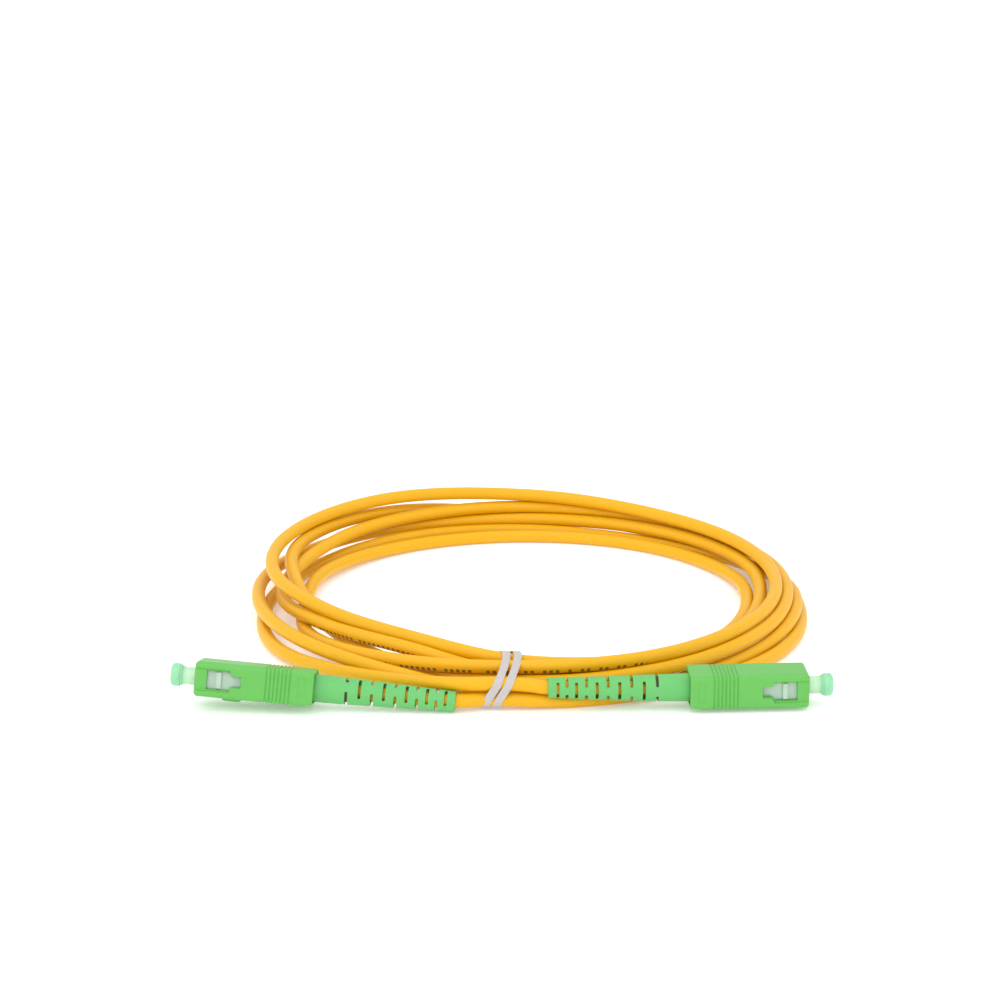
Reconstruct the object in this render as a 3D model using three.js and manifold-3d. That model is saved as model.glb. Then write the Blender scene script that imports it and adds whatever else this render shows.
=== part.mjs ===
// Simplex fibre optic patch cord: a coiled 3 mm cable with an angled-polish push-pull plug on each end.
//
// Frame: millimetres, +X to the right along the two plugs, +Y away from the plugs towards the coil,
// +Z up. The origin is at the bottom centre of the box round the two plugs, on the resting surface.
//
// Each plug is built in its own frame: +X points out of the nose, the origin is the centre of the
// outer housing's rear face, and the keying rib is on the -Z side. A group then turns and places it.

import * as THREE from 'three';
import * as BufferGeometryUtils from 'three/addons/utils/BufferGeometryUtils.js';
import Module from 'manifold-3d';

const wasm = await Module();
wasm.setup();

// ---------------------------------------------------------------- driving dimensions

const CABLE_RADIUS = 1.5;

// The coil's own solid: a ring of the bundle's outer shape.
const COIL_CENTRE = new THREE.Vector2(5.8, 61);
const COIL_INNER_RADIUS = 54.6;
const COIL_OUTER_RADIUS = 60.6;
const COIL_HEIGHT = 9.4;

const HOUSING_LENGTH = 25;
const HOUSING_WIDTH = 9;
const HOUSING_HEIGHT = 7.4;

const FRAME_REAR = 3.4;
const FRAME_FRONT = 24.3;

const FERRULE_RADIUS = 1.25;
const FERRULE_LENGTH = 10.5;
const FERRULE_TIP = 26.3;
const FERRULE_TILT = THREE.MathUtils.degToRad(8);

const BOOT_FRONT = 0.8;
const BOOT_LENGTH = 29.5;
const BOOT_FRONT_RADIUS = 2.95;
const BOOT_END_RADIUS = 2.15;

// Where each plug lies: the rear face's centre, the turns in degrees, and how far the end of the
// flexible boot is pushed off the plug's straight axis.
const PLUGS = [
  { side: 'left', at: [-39.0, -0.9, 4.5], yaw: 175.5, pitch: 4.3, roll: 14, bend: 0 },
  { side: 'right', at: [39.0, -0.3, 4.45], yaw: 3.5, pitch: 0, roll: 0, bend: 0.55 },
];

// The short stretches of cable between each boot and the tie, as places of the cable's centre.
// The part of each lead inside its boot is added from the plug's own frame.
const LEADS = {
  left: [[-5.2, -2.15, 2.35], [-0.4, -1.7, 2.35], [5.0, -1.65, 2.1]],
  right: [[5.0, -1.7, 5.5], [-0.4, -1.6, 5.75], [-5.2, -1.75, 5.7]],
};

// The wire-cored tie that is wound twice round the bundle.
const TIE_X = -0.4;
const TIE_WIDTH = 1.7;
const TIE_THICKNESS = 0.45;
const TIE_PITCH = 2.3;
const TIE_LEAN = 0.55;
const TIE_LOW = new THREE.Vector2(-4.3, 0);
const TIE_HIGH = new THREE.Vector2(7.6, 10.1);
const TIE_CORNER = 2.6;

// ---------------------------------------------------------------- helpers

function material(colour, roughness, metalness = 0) {
  return new THREE.MeshStandardMaterial({ color: new THREE.Color(colour), roughness, metalness });
}

const finishes = {
  housing: () => material(0x6fd35f, 0.42),
  boot: () => material(0x6cd67c, 0.55),
  cap: () => material(0x9df0bd, 0.35),
  frame: () => material(0xdfe8e2, 0.45),
  zirconia: () => material(0xf4f4f0, 0.15),
  steel: () => material(0xb9bcc0, 0.3, 1),
  nickel: () => material(0xc8c6c0, 0.35, 1),
  yarn: () => material(0xe6c95a, 0.8),
  buffer: () => material(0xf2f2ee, 0.5),
  glass: () => material(0xe8f4f8, 0.05),
  cable: () => material(0xf9bd2e, 0.5),
  tie: () => material(0xe4e0dc, 0.5),
};

function named(name, geometry, finish) {
  const mesh = new THREE.Mesh(geometry, finish);
  mesh.name = name;
  return mesh;
}

// Closed mesh to manifold solid, for joining and cutting.
function solid(geometry) {
  const bare = geometry.clone();
  bare.deleteAttribute('normal');
  bare.deleteAttribute('uv');
  const merged = BufferGeometryUtils.mergeVertices(bare, 1e-4);
  return new wasm.Manifold(new wasm.Mesh({
    numProp: 3,
    vertProperties: new Float32Array(merged.attributes.position.array),
    triVerts: new Uint32Array(merged.index.array),
  }));
}

function geometryOf(manifold) {
  const mesh = manifold.getMesh();
  const geometry = new THREE.BufferGeometry();
  geometry.setAttribute('position', new THREE.BufferAttribute(mesh.vertProperties, 3));
  geometry.setIndex(new THREE.BufferAttribute(mesh.triVerts, 1));
  geometry.computeVertexNormals();
  return geometry;
}

// A solid of revolution about the plug's axis. The profile is a list of [x, radius] that runs
// towards the nose on the outside and, for a sleeve, back along the bore.
function turned(profile, segments = 20) {
  const points = profile.map(([x, radius]) => new THREE.Vector2(radius, x));
  return new THREE.LatheGeometry(points, segments).rotateZ(-Math.PI / 2);
}

function rod(rear, front, radius, segments = 20) {
  return turned([[rear, 0], [rear, radius], [front, radius], [front, 0]], segments);
}

function sleeve(rear, front, outer, inner, segments = 20) {
  const profile = [[rear, inner], [rear, outer], [front, outer], [front, inner], [rear, inner]];
  return turned(profile, segments);
}

function block(low, high) {
  const size = high.map((value, axis) => value - low[axis]);
  const centre = high.map((value, axis) => (value + low[axis]) / 2);
  return new THREE.BoxGeometry(...size).translate(...centre);
}

function roundedRectangle(low, high, radius) {
  const shape = new THREE.Shape();
  shape.moveTo(low.x + radius, low.y);
  shape.lineTo(high.x - radius, low.y);
  shape.absarc(high.x - radius, low.y + radius, radius, -Math.PI / 2, 0);
  shape.lineTo(high.x, high.y - radius);
  shape.absarc(high.x - radius, high.y - radius, radius, 0, Math.PI / 2);
  shape.lineTo(low.x + radius, high.y);
  shape.absarc(low.x + radius, high.y - radius, radius, Math.PI / 2, Math.PI);
  shape.lineTo(low.x, low.y + radius);
  shape.absarc(low.x + radius, low.y + radius, radius, Math.PI, Math.PI * 1.5);
  return shape;
}

function centredRectangle(width, height, radius) {
  const corner = new THREE.Vector2(width / 2, height / 2);
  return roundedRectangle(corner.clone().negate(), corner, radius);
}

const ACROSS_PLUG = new THREE.Matrix4().makeBasis(
  new THREE.Vector3(0, 1, 0),
  new THREE.Vector3(0, 0, 1),
  new THREE.Vector3(1, 0, 0),
);

// A rounded bar along the plug's axis, with its two ends bevelled.
function bar(rear, front, width, height, radius, bevel = 0) {
  const shape = centredRectangle(width - 2 * bevel, height - 2 * bevel, radius - bevel * 0.5);
  const geometry = new THREE.ExtrudeGeometry(shape, {
    depth: front - rear - 2 * bevel,
    bevelEnabled: bevel > 0,
    bevelSize: bevel,
    bevelThickness: bevel,
    bevelSegments: 1,
    curveSegments: 2,
  });
  return geometry.applyMatrix4(ACROSS_PLUG).translate(rear + bevel, 0, 0);
}

// ---------------------------------------------------------------- the plug's pieces

const WINDOW = { front: 22.4, step: 17.6, slope: 0.6, rear: 15.2, half: 1.95, rearHalf: 1.1 };
const RIB = { rear: 19.4, front: 20.4 };

function windowCut() {
  const shape = new THREE.Shape();
  shape.moveTo(WINDOW.rear, -WINDOW.rearHalf);
  shape.lineTo(WINDOW.step - WINDOW.slope, -WINDOW.rearHalf);
  shape.lineTo(WINDOW.step, -WINDOW.half);
  shape.lineTo(WINDOW.front, -WINDOW.half);
  shape.lineTo(WINDOW.front, WINDOW.half);
  shape.lineTo(WINDOW.step, WINDOW.half);
  shape.lineTo(WINDOW.step - WINDOW.slope, WINDOW.rearHalf);
  shape.lineTo(WINDOW.rear, WINDOW.rearHalf);
  shape.closePath();
  const depth = HOUSING_WIDTH + 4;
  const through = new THREE.ExtrudeGeometry(shape, { depth, bevelEnabled: false });
  return through.rotateX(Math.PI / 2).translate(0, depth / 2, 0);
}

// Outer push-pull housing: a sleeve with a latch window in each side, a keying rib underneath,
// latch channels to the nose and fine grip grooves round its rear half.
function outerHousing() {
  const boreWidth = 7.1;
  const boreHeight = 5.7;
  const mouthDepth = 3;
  const channelDepth = 0.45;
  const channelHalf = 2.35;
  const halfWidth = HOUSING_WIDTH / 2;
  const halfHeight = HOUSING_HEIGHT / 2;
  const keyHeight = 0.75;

  let housing = solid(bar(0, HOUSING_LENGTH, HOUSING_WIDTH, HOUSING_HEIGHT, 1.1, 0.45));
  const key = block([15.3, -2, -halfHeight - keyHeight], [19.3, 2, -halfHeight + 0.3]);
  housing = housing.add(solid(key));
  housing = housing.subtract(solid(bar(-1, HOUSING_LENGTH + 1, boreWidth, boreHeight, 0.5)));
  housing = housing.subtract(solid(bar(-1, mouthDepth, 7.4, 6.5, 1.2)));
  housing = housing.subtract(solid(windowCut()));

  for (const side of [-1, 1]) {
    const channel = block(
      [WINDOW.step, -channelDepth, -channelHalf],
      [HOUSING_LENGTH + 1, channelDepth, channelHalf],
    );
    channel.translate(0, side * halfWidth, 0);
    housing = housing.subtract(solid(channel));
    const panel = block([1.6, -0.2, -2.1], [3.2, 0.2, 2.1]).translate(0, side * halfWidth, 0);
    housing = housing.subtract(solid(panel));
  }

  const grooves = 7;
  const groovePitch = 0.82;
  const grooveDepth = 0.2;
  for (let index = 0; index < grooves; index += 1) {
    const rear = 4.7 + index * groovePitch;
    const front = rear + groovePitch * 0.45;
    const ring = solid(bar(rear, front, HOUSING_WIDTH + 2, HOUSING_HEIGHT + 2, 1));
    const core = solid(bar(
      rear - 1,
      front + 1,
      HOUSING_WIDTH - 2 * grooveDepth,
      HOUSING_HEIGHT - 2 * grooveDepth,
      1,
    ));
    housing = housing.subtract(ring.subtract(core));
  }
  return geometryOf(housing);
}

// Inner plug frame: holds the ferrule's flange behind a wall, and carries the two latch ribs.
function plugFrame() {
  const width = 6.5;
  const height = 5.1;
  const wallRear = 14.9;
  const wallFront = 16.1;
  let frame = solid(bar(FRAME_REAR, FRAME_FRONT, width, height, 0.7, 0.2));
  const rib = solid(block([RIB.rear, -width / 2 - 0.55, -1.7], [RIB.front, width / 2 + 0.55, 1.7]));
  frame = frame.add(rib);
  frame = frame.subtract(solid(rod(wallFront, FRAME_FRONT + 1, 2.2)));
  frame = frame.subtract(solid(rod(wallRear - 1, wallFront + 1, 1.85)));
  frame = frame.subtract(solid(rod(FRAME_REAR - 1, wallRear, 2.2)));
  return geometryOf(frame);
}

// Zirconia ferrule with a capillary bore, a cone at the tip and an 8 degree end face.
function ferrule() {
  const rear = FERRULE_TIP - FERRULE_LENGTH;
  const profile = [
    [rear, 0.2],
    [rear, FERRULE_RADIUS],
    [FERRULE_TIP - 0.9, FERRULE_RADIUS],
    [FERRULE_TIP + 0.2, 0.75],
    [FERRULE_TIP + 0.2, 0.2],
    [rear, 0.2],
  ];
  const polish = block([0, -4, -4], [4, 4, 4]).rotateY(FERRULE_TILT).translate(FERRULE_TIP, 0, 0);
  return geometryOf(solid(turned(profile)).subtract(solid(polish)));
}

function opticalFibre() {
  const polish = block([0, -4, -4], [4, 4, 4]).rotateY(FERRULE_TILT).translate(FERRULE_TIP, 0, 0);
  return geometryOf(solid(rod(12, FERRULE_TIP + 0.2, 0.0625, 8)).subtract(solid(polish)));
}

// Metal flange that grips the ferrule's rear end, with a hollow tail for the spring to sit on.
function ferruleFlange() {
  return turned([
    [8.2, 0.75],
    [8.2, 1.1],
    [11.8, 1.1],
    [11.8, 2.0],
    [14.6, 2.0],
    [14.6, 1.65],
    [17.8, 1.65],
    [17.8, 1.35],
    [15.5, 1.35],
    [15.5, 0.75],
    [8.2, 0.75],
  ]);
}

class Helix extends THREE.Curve {
  constructor(rear, front, radius, turns) {
    super();
    this.rear = rear;
    this.front = front;
    this.radius = radius;
    this.turns = turns;
  }

  getPoint(t, target = new THREE.Vector3()) {
    const angle = 2 * Math.PI * this.turns * t;
    const x = this.rear + (this.front - this.rear) * t;
    return target.set(x, this.radius * Math.cos(angle), this.radius * Math.sin(angle));
  }
}

function circleShape(radius, sides) {
  const shape = new THREE.Shape();
  for (let index = 0; index < sides; index += 1) {
    const angle = (2 * Math.PI * index) / sides;
    const x = radius * Math.cos(angle);
    const y = radius * Math.sin(angle);
    if (index === 0) shape.moveTo(x, y);
    else shape.lineTo(x, y);
  }
  shape.closePath();
  return shape;
}

function ferruleSpring() {
  const coils = 5;
  const path = new Helix(7.6, 11.2, 1.7, coils);
  return new THREE.ExtrudeGeometry(circleShape(0.2, 5), {
    steps: coils * 12,
    bevelEnabled: false,
    extrudePath: path,
  });
}

// Rear body: closes the plug frame behind the spring and ends in the barrel for the crimp.
function stopBody() {
  return turned([
    [-6.5, 1.0],
    [-6.5, 1.6],
    [1.2, 1.6],
    [1.2, 2.4],
    [3.1, 2.4],
    [3.1, 2.05],
    [7.2, 2.05],
    [7.2, 1.45],
    [4.6, 1.45],
    [4.6, 1.0],
    [-6.5, 1.0],
  ]);
}

const STRAIN_SLOTS = 10;
const STRAIN_SLOT_WIDTH = 0.8;

function strainSlotPlace(index) {
  return -(6.4 + 2.75 * index - 0.045 * index * index);
}

// Strain relief boot: a tapered rubber sleeve whose slots are cut through it crosswise, turned a
// quarter turn from one to the next so that it bends evenly every way. The slots that are open at
// the top and underneath reach further round than the ones that are open at the sides.
function strainReliefBoot() {
  const shoulder = { x: -6, radius: BOOT_FRONT_RADIUS - 0.1 };
  const socket = { radius: 2.45, rear: -8, slope: 1.5 };
  const bore = 1.8;
  const body = turned([
    [-BOOT_LENGTH, BOOT_END_RADIUS],
    [shoulder.x, shoulder.radius],
    [BOOT_FRONT, BOOT_FRONT_RADIUS],
    [BOOT_FRONT, socket.radius],
    [socket.rear, socket.radius],
    [socket.rear - socket.slope, bore],
    [-BOOT_LENGTH, bore],
    [-BOOT_LENGTH, BOOT_END_RADIUS],
  ]);
  const half = STRAIN_SLOT_WIDTH / 2;
  const reach = BOOT_FRONT_RADIUS + 1;
  let boot = solid(body);
  for (let index = 0; index < STRAIN_SLOTS; index += 1) {
    const place = strainSlotPlace(index);
    const along = (place - shoulder.x) / (-BOOT_LENGTH - shoulder.x);
    const radius = THREE.MathUtils.lerp(shoulder.radius, BOOT_END_RADIUS, along);
    const upright = index % 2 === 0;
    const open = radius * (upright ? 0.86 : 0.68);
    const slot = block([place - half, -open, -reach], [place + half, open, reach]);
    if (!upright) slot.rotateX(Math.PI / 2);
    boot = boot.subtract(solid(slot));
  }
  return geometryOf(boot);
}

// Push-on dust cap: a thin tube over the ferrule with a closed, rounded head.
function dustCap() {
  const neck = 1.88;
  const head = 2.43;
  return turned([
    [18.6, 1.42],
    [18.6, neck],
    [27.9, neck],
    [28.3, head - 0.12],
    [28.7, head],
    [29.7, head],
    [30.15, head - 0.25],
    [30.35, head - 0.75],
    [30.4, 0],
    [27.2, 0],
    [27.2, 1.42],
    [18.6, 1.42],
  ]);
}

// Everything behind the housing follows the boot's bend: the further back, the more it is pushed
// aside, as the square of the distance.
function bendPoint(point, bend) {
  const back = Math.max(0, -point.x) / BOOT_LENGTH;
  point.z += bend * back * back;
  return point;
}

function bent(geometry, bend) {
  const place = geometry.attributes.position;
  const point = new THREE.Vector3();
  for (let index = 0; index < place.count; index += 1) {
    bendPoint(point.fromBufferAttribute(place, index), bend);
    place.setXYZ(index, point.x, point.y, point.z);
  }
  return geometry;
}

function makePlug({ side, at, yaw, pitch, roll, bend }) {
  const plug = new THREE.Group();
  const pieces = [
    ['outer_housing', outerHousing(), finishes.housing()],
    ['plug_frame', plugFrame(), finishes.frame()],
    ['ferrule', ferrule(), finishes.zirconia()],
    ['ferrule_flange', ferruleFlange(), finishes.nickel()],
    ['ferrule_spring', ferruleSpring(), finishes.steel()],
    ['optical_fibre', opticalFibre(), finishes.glass()],
    ['buffered_fibre', rod(-8.2, 10.9, 0.45, 12), finishes.buffer()],
    ['stop_body', stopBody(), finishes.nickel()],
    ['aramid_yarn', sleeve(-6.2, 0.4, 1.92, 1.7), finishes.yarn()],
    ['crimp_sleeve', sleeve(-7.4, 0.9, 2.3, 2.02), finishes.nickel()],
    ['strain_relief_boot', bent(strainReliefBoot(), bend), finishes.boot()],
    ['dust_cap', dustCap(), finishes.cap()],
  ];
  for (const [name, geometry, finish] of pieces) plug.add(named(`${name}_${side}`, geometry, finish));
  plug.position.set(...at);
  plug.rotation.set(
    THREE.MathUtils.degToRad(roll),
    THREE.MathUtils.degToRad(-pitch),
    THREE.MathUtils.degToRad(yaw),
    'ZYX',
  );
  plug.updateMatrixWorld(true);
  return plug;
}

// ---------------------------------------------------------------- cable, coil and tie

const CABLE_START = -8.7;
const LEAD_STEPS = 12;

// The lead starts at the crimp, runs down the middle of the boot and out to the tie.
function cableLead(plug, { side, bend }) {
  const inside = [CABLE_START, -15, -22, -BOOT_LENGTH].map((x) => {
    const point = bendPoint(new THREE.Vector3(x, 0, 0), bend);
    return plug.localToWorld(point);
  });
  const outside = LEADS[side].map((place) => new THREE.Vector3(...place));
  return new THREE.ExtrudeGeometry(circleShape(CABLE_RADIUS, 8), {
    steps: LEAD_STEPS,
    bevelEnabled: false,
    extrudePath: new THREE.CatmullRomCurve3([...inside, ...outside], false, 'centripetal'),
  });
}

// A leaning loop round the bundle, as a band of the tie's width.
function tieLoop(low, high, corner, width) {
  const geometry = new THREE.ExtrudeGeometry(roundedRectangle(low, high, corner), {
    depth: width,
    bevelEnabled: false,
    curveSegments: 4,
  });
  return geometry.applyMatrix4(ACROSS_PLUG).translate(-width / 2, 0, 0);
}

function leaned(geometry) {
  const place = geometry.attributes.position;
  const middle = (TIE_LOW.y + TIE_HIGH.y) / 2;
  for (let index = 0; index < place.count; index += 1) {
    place.setX(index, place.getX(index) + TIE_LEAN * (place.getZ(index) - middle));
  }
  return geometry;
}

function cableTie() {
  const inset = new THREE.Vector2(TIE_THICKNESS, TIE_THICKNESS);
  const innerLow = TIE_LOW.clone().add(inset);
  const innerHigh = TIE_HIGH.clone().sub(inset);
  const wide = TIE_WIDTH * 2 + TIE_PITCH;
  let tie = null;
  for (const turn of [-0.5, 0.5]) {
    const band = tieLoop(TIE_LOW, TIE_HIGH, TIE_CORNER, TIE_WIDTH).translate(turn * TIE_PITCH, 0, 0);
    tie = tie ? tie.add(solid(band)) : solid(band);
  }
  const bridge = block(
    [-TIE_PITCH / 2, TIE_HIGH.x - 0.9, 3.6],
    [TIE_PITCH / 2, TIE_HIGH.x - 0.02, 5.3],
  );
  tie = tie.add(solid(bridge));
  tie = tie.subtract(solid(tieLoop(innerLow, innerHigh, TIE_CORNER - TIE_THICKNESS, wide)));
  const tail = block([-0.8, TIE_HIGH.x - 0.2, 3.9], [0.8, TIE_HIGH.x + 7, 5.0]);
  tie = tie.add(solid(tail));
  return leaned(geometryOf(tie)).translate(TIE_X, 0, 0);
}

// The coil's solid: a ring of the bundle's outline, drawn in where the tie pinches it.
function cableCoil() {
  const edge = 1.2;
  const profile = [
    [COIL_INNER_RADIUS, edge],
    [COIL_INNER_RADIUS + edge, 0],
    [COIL_OUTER_RADIUS - edge, 0],
    [COIL_OUTER_RADIUS, edge],
    [COIL_OUTER_RADIUS, COIL_HEIGHT - edge],
    [COIL_OUTER_RADIUS - edge, COIL_HEIGHT],
    [COIL_INNER_RADIUS + edge, COIL_HEIGHT],
    [COIL_INNER_RADIUS, COIL_HEIGHT - edge],
    [COIL_INNER_RADIUS, edge],
  ].map(([radius, height]) => new THREE.Vector2(radius, height));
  const ring = new THREE.LatheGeometry(profile, 72).rotateX(Math.PI / 2);
  ring.translate(COIL_CENTRE.x, COIL_CENTRE.y, 0);

  const clear = TIE_THICKNESS + 0.35;
  const width = TIE_WIDTH + TIE_PITCH + 1;
  const pinch = new THREE.Vector2(clear, clear);
  const waist = tieLoop(TIE_LOW.clone().add(pinch), TIE_HIGH.clone().sub(pinch), 2, width);
  const reach = new THREE.Vector2(4, 4);
  const around = tieLoop(TIE_LOW.clone().sub(reach), TIE_HIGH.clone().add(reach), 1, width);
  const cut = geometryOf(solid(around).subtract(solid(waist)));
  return geometryOf(solid(ring).subtract(solid(leaned(cut).translate(TIE_X, 0, 0))));
}

// ---------------------------------------------------------------- assembly

const patchCord = new THREE.Group();

for (const place of PLUGS) {
  const plug = makePlug(place);
  patchCord.add(plug);
  patchCord.add(named(`cable_lead_${place.side}`, cableLead(plug, place), finishes.cable()));
}
patchCord.add(named('cable_coil', cableCoil(), finishes.cable()));
patchCord.add(named('cable_tie', cableTie(), finishes.tie()));

export default patchCord;
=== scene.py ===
"""Fibre optic patch cord: a coiled 3 mm cable, a twist tie, and a green push-pull plug on each end."""

import math

import bpy
import numpy as np
from mathutils import Matrix, Vector


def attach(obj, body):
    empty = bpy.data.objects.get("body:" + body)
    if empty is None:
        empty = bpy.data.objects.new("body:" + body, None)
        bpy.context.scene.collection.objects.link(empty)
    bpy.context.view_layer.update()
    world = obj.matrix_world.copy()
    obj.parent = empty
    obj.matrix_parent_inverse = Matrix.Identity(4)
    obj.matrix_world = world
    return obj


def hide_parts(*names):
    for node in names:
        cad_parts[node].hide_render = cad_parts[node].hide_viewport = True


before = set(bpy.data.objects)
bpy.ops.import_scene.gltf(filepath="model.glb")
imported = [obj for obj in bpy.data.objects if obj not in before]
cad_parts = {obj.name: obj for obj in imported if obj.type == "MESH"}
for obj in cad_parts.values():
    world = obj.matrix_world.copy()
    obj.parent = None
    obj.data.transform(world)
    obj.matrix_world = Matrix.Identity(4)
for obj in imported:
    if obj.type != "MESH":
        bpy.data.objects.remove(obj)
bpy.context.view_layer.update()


# ---------------------------------------------------------------- camera
# A long lens, looking along +Y and down at the plugs from the front.

MM = 0.001
SENSOR_WIDTH = 36.0

camera_data = bpy.data.cameras.new("camera")
camera_data.sensor_width = SENSOR_WIDTH
camera_data.lens = 3.15 * SENSOR_WIDTH
camera = bpy.data.objects.new("camera", camera_data)
camera.location = (-0.4 * MM, -621.9 * MM, 227.4 * MM)
camera.rotation_euler = (math.radians(90 - 16.33), 0, 0)
bpy.context.scene.collection.objects.link(camera)
bpy.context.scene.camera = camera


# ---------------------------------------------------------------- cable
# One continuous 3 mm simplex cable: a soft amber-yellow PVC jacket, extruded over aramid yarn and a
# buffered fibre. It leaves the left boot, goes six times round the coil and ends in the right boot.

CABLE_RADIUS = 1.5
COIL_CENTRE = np.array([5.8, 61.0])
STATIONS_PER_TURN = 120
START_ANGLE = -15

# Where each turn lies, as (radius, height) of the cable's centre in millimetres, at every twelfth of
# the way round: from the front, by the right, the back and the left. Each row carries on the last.
TURNS = np.array([
    [(62.4, 2.0), (61.8, 1.5), (62.0, 1.5), (61.0, 1.5), (62.4, 1.7), (64.6, 2.6),
     (65.8, 4.4), (65.2, 7.9), (60.6, 8.6), (52.6, 8.2), (50.2, 5.3), (52.6, 3.6)],
    [(58.3, 4.3), (58.9, 4.9), (58.9, 5.4), (59.4, 5.6), (60.7, 5.7), (62.8, 6.2),
     (63.6, 7.1), (62.6, 6.6), (56.9, 6.6), (55.8, 5.2), (52.9, 7.0), (52.0, 7.4)],
    [(55.2, 4.3), (53.0, 3.1), (50.6, 4.0), (50.3, 3.6), (54.0, 1.9), (56.5, 1.5),
     (56.6, 1.5), (56.0, 1.6), (53.4, 2.6), (50.4, 3.2), (54.6, 4.0), (55.8, 5.6)],
    [(57.2, 6.9), (57.3, 7.0), (57.1, 7.5), (57.1, 7.6), (58.4, 7.8), (60.5, 8.2),
     (63.6, 9.4), (64.4, 11.1), (62.0, 11.0), (57.8, 10.6), (51.4, 9.6), (49.3, 8.7)],
    [(54.1, 7.2), (54.5, 5.9), (53.0, 5.2), (53.1, 5.1), (57.4, 4.4), (60.0, 4.2),
     (62.0, 3.9), (64.2, 3.7), (63.9, 3.6), (61.3, 5.0), (60.0, 5.4), (58.8, 4.2)],
    [(59.5, 1.7), (59.0, 1.6), (60.2, 2.7), (61.2, 4.1), (60.2, 2.6), (59.7, 1.6),
     (60.5, 2.2), (60.6, 2.3), (58.4, 2.0), (59.4, 1.8), (62.2, 2.0), (61.4, 3.6)],
])

# The short leads between the boots and the coil, from the boot inwards, in millimetres.
LEADS = {
    "left": [(-5.2, -2.15, 2.35), (-0.4, -1.7, 2.35), (5.0, -1.65, 2.1)],
    "right": [(5.0, -1.7, 5.5), (-0.4, -1.6, 5.75), (-5.2, -1.75, 5.7)],
}
CABLE_START = -8.7

# Where each plug lies: the rear face's centre in millimetres, its turns in degrees, and how far the
# end of its flexible boot is pushed up.
PLUGS = {
    "left": {"at": (-39.0, -0.9, 4.5), "yaw": 175.5, "pitch": 4.3, "roll": 14.0, "bend": 0.0},
    "right": {"at": (39.0, -0.3, 4.45), "yaw": 3.5, "pitch": 0.0, "roll": 0.0, "bend": 0.55},
}
BOOT_LENGTH = 29.5
BOOT_FRONT_RADIUS = 2.95
BOOT_END_RADIUS = 2.15


def plug_turn(side):
    """Rotation of a plug: yaw about Z, then pitch about its own -Y, then roll about its own X."""
    place = PLUGS[side]
    return (Matrix.Rotation(math.radians(place["yaw"]), 3, "Z")
            @ Matrix.Rotation(math.radians(-place["pitch"]), 3, "Y")
            @ Matrix.Rotation(math.radians(place["roll"]), 3, "X"))


def in_plug(side, points):
    """Points of the plug's own frame, in millimetres, as places in the model.

    p' = at + R p, after z += bend (-x / boot length)^2 behind the housing.
    """
    place = PLUGS[side]
    points = np.array(points, float)
    back = np.clip(-points[..., 0], 0, None) / BOOT_LENGTH
    points[..., 2] += place["bend"] * back ** 2
    return points @ np.array(plug_turn(side)).T + np.array(place["at"])


def smooth_between(places, values, at):
    """Cubic Hermite curve through values at places, with slopes from each point's two neighbours."""
    places, values = np.asarray(places, float), np.asarray(values, float)
    slopes = np.gradient(values, places, axis=0)
    index = np.clip(np.searchsorted(places, at) - 1, 0, len(places) - 2)
    step = (places[index + 1] - places[index])
    t = (at - places[index]) / step
    if values.ndim > 1:
        t, step = t[:, None], step[:, None]
    return ((2 * t ** 3 - 3 * t ** 2 + 1) * values[index]
            + (t ** 3 - 2 * t ** 2 + t) * step * slopes[index]
            + (3 * t ** 2 - 2 * t ** 3) * values[index + 1]
            + (t ** 3 - t ** 2) * step * slopes[index + 1])


def round_coil(points):
    """(angle in degrees from the front, radius, height) of places given in millimetres."""
    points = np.asarray(points, float)
    east, south = points[..., 0] - COIL_CENTRE[0], COIL_CENTRE[1] - points[..., 1]
    return np.stack([np.degrees(np.arctan2(east, south)), np.hypot(east, south), points[..., 2]], -1)


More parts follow.
